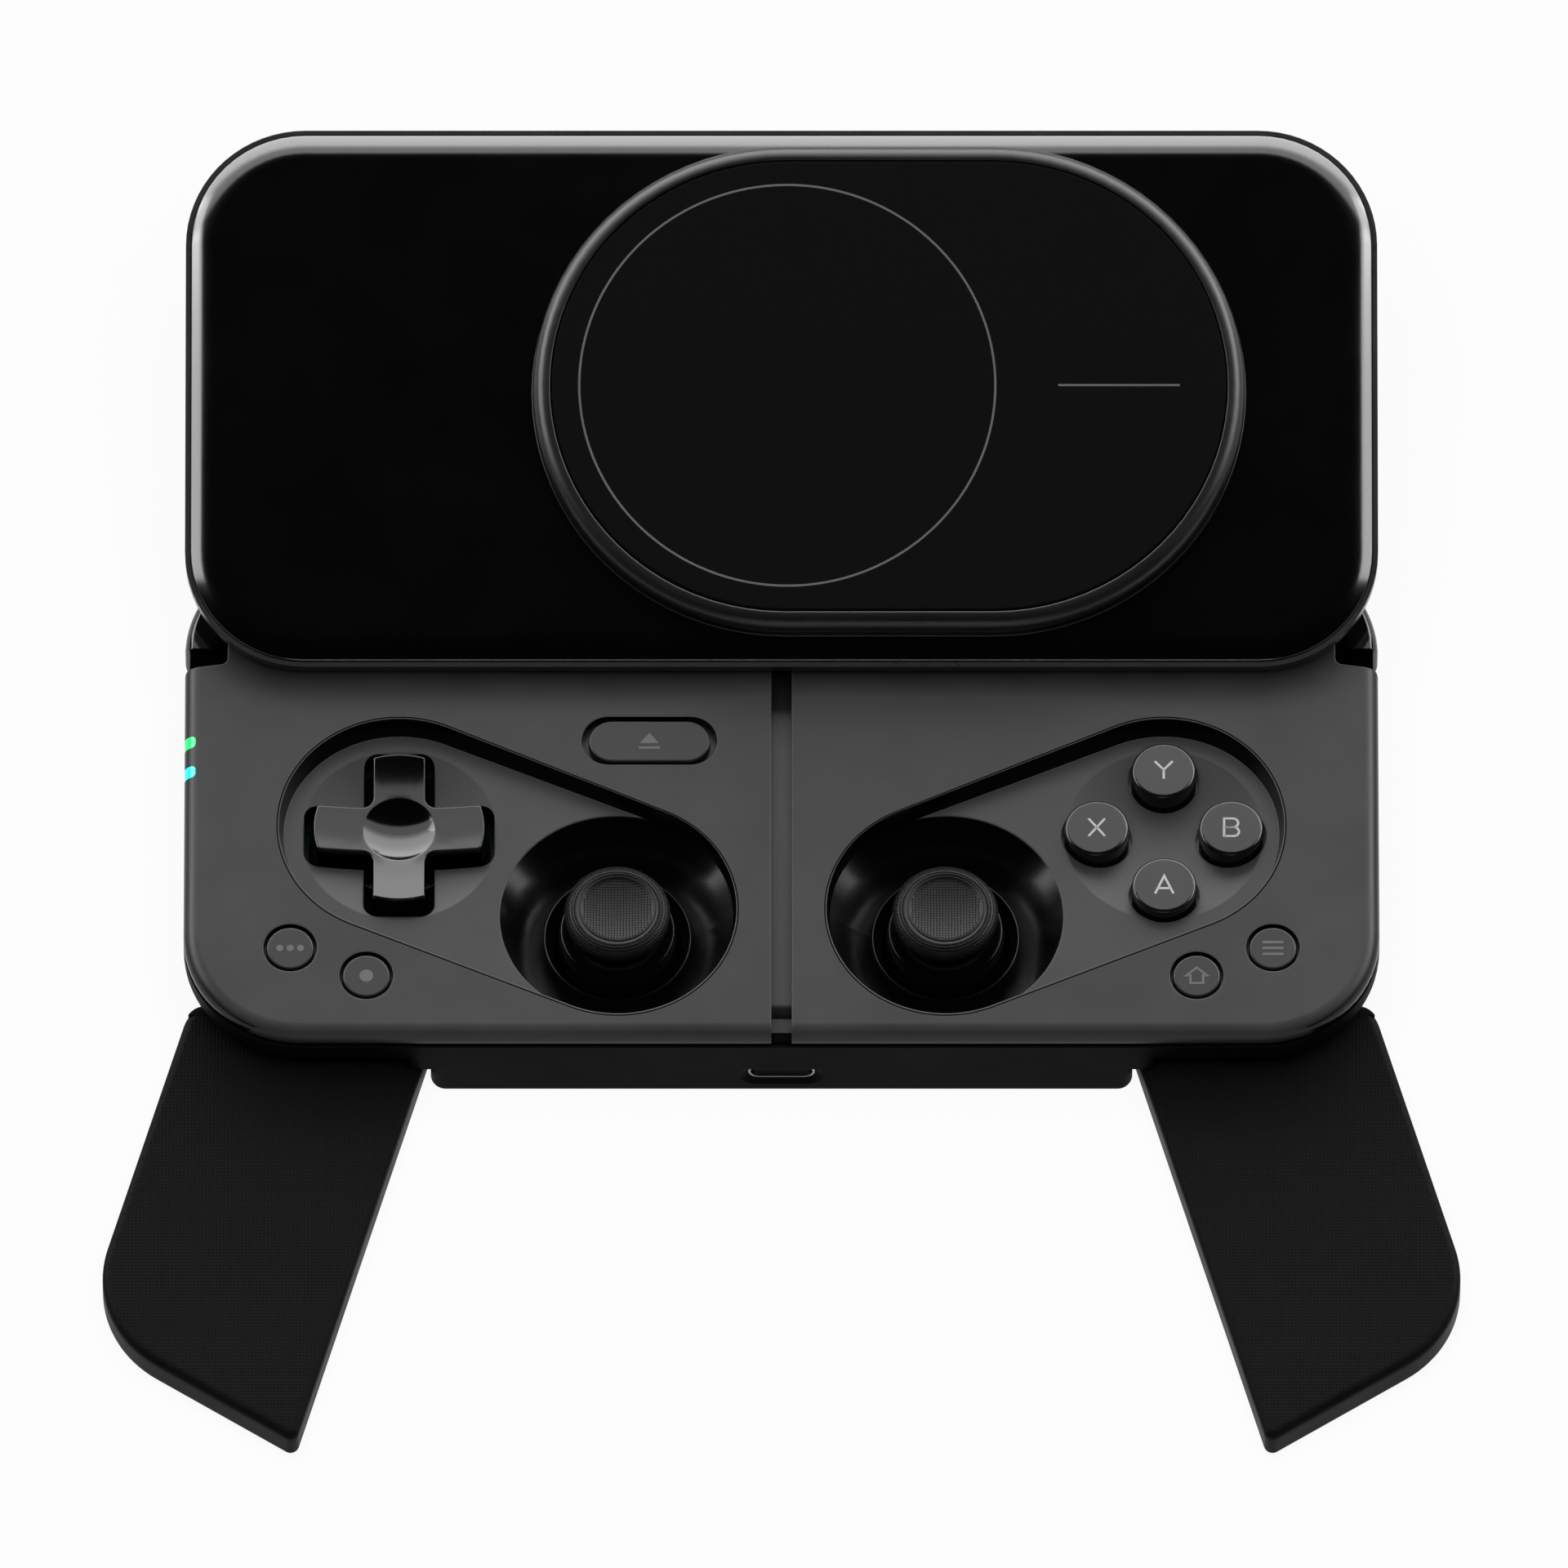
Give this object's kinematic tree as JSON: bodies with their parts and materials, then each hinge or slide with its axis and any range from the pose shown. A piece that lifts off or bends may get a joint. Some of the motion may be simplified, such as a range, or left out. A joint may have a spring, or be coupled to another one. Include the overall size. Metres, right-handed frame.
{
  "type": "mobile game controller",
  "caption": "Slab phone gamepad with a sliding, tilting magnetic phone lid, thumb sticks, direction pad, face buttons, bumpers, rear triggers and flip-out grips.",
  "frame": {"origin": "centre of the back block's rear face, which the part rests on", "axes": "+X to the player's right, +Y away from the player along the body, +Z out of the controls' face"},
  "size_m": [0.1812, 0.1826, 0.0408],
  "materials": {
    "grey_shell": "satin grey moulded face",
    "seam_black": "matte black band",
    "black_shell": "fine grained black moulding",
    "socket_steel": "stamped steel shell",
    "board_green": "solder mask over laminate",
    "cell_foil": "wrapped foil pouch",
    "rail_grey": "satin",
    "light_green": "lit light pipe",
    "light_cyan": "lit light pipe",
    "screw_steel": "blackened",
    "membrane_rubber": "moulded silicone",
    "pad_gloss": "polished dark grey",
    "button_gloss": "polished dark grey with printed letters",
    "key_grey": "satin with printed signs",
    "mechanism_plastic": "moulded",
    "pin_steel": "ground",
    "spring_steel": "drawn wire",
    "dome_black": "smooth",
    "cap_rubber": "knurled rim",
    "bumper_gloss": "polished",
    "trigger_black": "satin",
    "grip_black": "satin",
    "grip_skin": "fine woven texture",
    "lid_rim": "satin grey",
    "lid_gloss": "piano black",
    "puck_grey": "satin grey",
    "pad_rubber": "soft-touch sheet",
    "magnet_nickel": "nickel plated",
    "carriage_steel": "blackened plate"
  },
  "bodies": {
    "base": {"front_shell": "grey_shell", "seam_band": "seam_black", "rear_shell": "black_shell", "back_block": "black_shell", "usb_c_receptacle": "socket_steel", "main_board": "board_green", "battery_pack": "cell_foil", "guide_rail": "rail_grey", "status_light_green": "light_green", "status_light_cyan": "light_cyan", "case_screws": "screw_steel", "dpad_membrane": "membrane_rubber", "face_button_membrane": "membrane_rubber", "left_stick_housing": "mechanism_plastic", "right_stick_housing": "mechanism_plastic", "left_shoulder_board": "board_green", "right_shoulder_board": "board_green", "trigger_pins": "pin_steel", "trigger_springs": "spring_steel", "grip_hinge_pins": "pin_steel"},
    "slider": {"slide_carriage": "carriage_steel", "lid_hinge_pin": "pin_steel", "lid_torsion_springs": "spring_steel"},
    "lid": {"lid_frame": "lid_rim", "lid_plate": "lid_gloss", "magnet_puck": "puck_grey", "puck_pad": "pad_rubber", "magnet_ring": "magnet_nickel"},
    "dpad_pivot": {"dpad_pivot": "mechanism_plastic"},
    "dpad": {"dpad": "pad_gloss"},
    "left_grip": {"left_grip": "grip_black", "left_grip_pad": "grip_skin"},
    "left_stick_yoke": {"left_stick_yoke": "mechanism_plastic"},
    "left_stick_rocker": {"left_stick_rocker": "mechanism_plastic"},
    "left_stick_top": {"left_stick_post": "pin_steel", "left_stick_dome": "dome_black", "left_stick_cap": "cap_rubber"},
    "left_bumper": {"left_bumper": "bumper_gloss"},
    "left_trigger": {"left_trigger": "trigger_black"},
    "right_grip": {"right_grip": "grip_black", "right_grip_pad": "grip_skin"},
    "right_stick_yoke": {"right_stick_yoke": "mechanism_plastic"},
    "right_stick_rocker": {"right_stick_rocker": "mechanism_plastic"},
    "right_stick_top": {"right_stick_post": "pin_steel", "right_stick_dome": "dome_black", "right_stick_cap": "cap_rubber"},
    "right_bumper": {"right_bumper": "bumper_gloss"},
    "right_trigger": {"right_trigger": "trigger_black"},
    "button_a": {"button_a": "button_gloss"},
    "button_b": {"button_b": "button_gloss"},
    "button_x": {"button_x": "button_gloss"},
    "button_y": {"button_y": "button_gloss"},
    "key_more": {"key_more": "key_grey"},
    "key_record": {"key_record": "key_grey"},
    "key_home": {"key_home": "key_grey"},
    "key_menu": {"key_menu": "key_grey"},
    "key_eject": {"key_eject": "key_grey"}
  },
  "joints": [
    {"name": "lid_slide", "type": "slide", "parent": "base", "child": "slider", "axis": [0, 1, 0], "range_m": [-0.0542, 0]},
    {"name": "lid_tilt", "type": "hinge", "parent": "slider", "child": "lid", "pos_m": [0, 0.0247, 0.02], "axis": [1, 0, 0], "range_deg": [-13.3, 0], "stiffness_Nm_per_rad": 0.3, "springref_deg": 22.92},
    {"name": "left_grip_fold", "type": "hinge", "parent": "base", "child": "left_grip", "pos_m": [-0.0471, -0.0338, 0.0031], "axis": [0.9897, -0.1435, 0], "range_deg": [0, 180]},
    {"name": "right_grip_fold", "type": "hinge", "parent": "base", "child": "right_grip", "pos_m": [0.0471, -0.0338, 0.0031], "axis": [0.9897, 0.1435, 0], "range_deg": [0, 180]},
    {"name": "left_stick_pitch", "type": "hinge", "parent": "base", "child": "left_stick_yoke", "pos_m": [-0.02195, -0.01882, 0.00588], "axis": [1, 0, 0], "range_deg": [-16, 16], "stiffness_Nm_per_rad": 0.03},
    {"name": "left_stick_roll", "type": "hinge", "parent": "left_stick_yoke", "child": "left_stick_rocker", "pos_m": [-0.02195, -0.01882, 0.00588], "axis": [0, 0.9986, -0.0523], "range_deg": [-16, 16], "stiffness_Nm_per_rad": 0.03},
    {"name": "left_stick_click", "type": "slide", "parent": "left_stick_rocker", "child": "left_stick_top", "axis": [0, -0.0523, -0.9986], "range_m": [0, 0.0004], "stiffness_N_per_m": 4000},
    {"name": "right_stick_pitch", "type": "hinge", "parent": "base", "child": "right_stick_yoke", "pos_m": [0.02195, -0.01882, 0.00588], "axis": [1, 0, 0], "range_deg": [-16, 16], "stiffness_Nm_per_rad": 0.03},
    {"name": "right_stick_roll", "type": "hinge", "parent": "right_stick_yoke", "child": "right_stick_rocker", "pos_m": [0.02195, -0.01882, 0.00588], "axis": [0, 0.9986, -0.0523], "range_deg": [-16, 16], "stiffness_Nm_per_rad": 0.03},
    {"name": "right_stick_click", "type": "slide", "parent": "right_stick_rocker", "child": "right_stick_top", "axis": [0, -0.0523, -0.9986], "range_m": [0, 0.0004], "stiffness_N_per_m": 4000},
    {"name": "dpad_pitch", "type": "hinge", "parent": "base", "child": "dpad_pivot", "pos_m": [-0.0512, -0.0059, 0.00931], "axis": [1, 0, 0], "range_deg": [-2.5, 2.5], "stiffness_Nm_per_rad": 0.2},
    {"name": "dpad_roll", "type": "hinge", "parent": "dpad_pivot", "child": "dpad", "pos_m": [-0.0512, -0.0059, 0.00931], "axis": [0, 0.9986, -0.0523], "range_deg": [-2.5, 2.5], "stiffness_Nm_per_rad": 0.2},
    {"name": "button_a_press", "type": "slide", "parent": "base", "child": "button_a", "axis": [0, -0.0523, -0.9986], "range_m": [0, 0.0008], "stiffness_N_per_m": 700},
    {"name": "button_b_press", "type": "slide", "parent": "base", "child": "button_b", "axis": [0, -0.0523, -0.9986], "range_m": [0, 0.0008], "stiffness_N_per_m": 700},
    {"name": "button_x_press", "type": "slide", "parent": "base", "child": "button_x", "axis": [0, -0.0523, -0.9986], "range_m": [0, 0.0008], "stiffness_N_per_m": 700},
    {"name": "button_y_press", "type": "slide", "parent": "base", "child": "button_y", "axis": [0, -0.0523, -0.9986], "range_m": [0, 0.0008], "stiffness_N_per_m": 700},
    {"name": "key_more_press", "type": "slide", "parent": "base", "child": "key_more", "axis": [0, 0, -1], "range_m": [0, 0.0004], "stiffness_N_per_m": 1500},
    {"name": "key_record_press", "type": "slide", "parent": "base", "child": "key_record", "axis": [0, 0, -1], "range_m": [0, 0.0004], "stiffness_N_per_m": 1500},
    {"name": "key_home_press", "type": "slide", "parent": "base", "child": "key_home", "axis": [0, 0, -1], "range_m": [0, 0.0004], "stiffness_N_per_m": 1500},
    {"name": "key_menu_press", "type": "slide", "parent": "base", "child": "key_menu", "axis": [0, 0, -1], "range_m": [0, 0.0004], "stiffness_N_per_m": 1500},
    {"name": "key_eject_press", "type": "slide", "parent": "base", "child": "key_eject", "axis": [0, 0, -1], "range_m": [0, 0.0004], "stiffness_N_per_m": 1500},
    {"name": "left_bumper_press", "type": "hinge", "parent": "base", "child": "left_bumper", "pos_m": [-0.0407, 0.03535, 0.01], "axis": [0, 0, 1], "range_deg": [0, 1.6], "stiffness_Nm_per_rad": 1.5},
    {"name": "right_bumper_press", "type": "hinge", "parent": "base", "child": "right_bumper", "pos_m": [0.0407, 0.03535, 0.01], "axis": [0, 0, -1], "range_deg": [0, 1.6], "stiffness_Nm_per_rad": 1.5},
    {"name": "left_trigger_pull", "type": "hinge", "parent": "base", "child": "left_trigger", "pos_m": [-0.0625, 0.0279, 0.0036], "axis": [0.9415, 0.3371, 0], "range_deg": [0, 10], "stiffness_Nm_per_rad": 0.06, "springref_deg": -5.73},
    {"name": "right_trigger_pull", "type": "hinge", "parent": "base", "child": "right_trigger", "pos_m": [0.0625, 0.0279, 0.0036], "axis": [0.9415, -0.3371, 0], "range_deg": [0, 10], "stiffness_Nm_per_rad": 0.06, "springref_deg": -5.73}
  ]
}
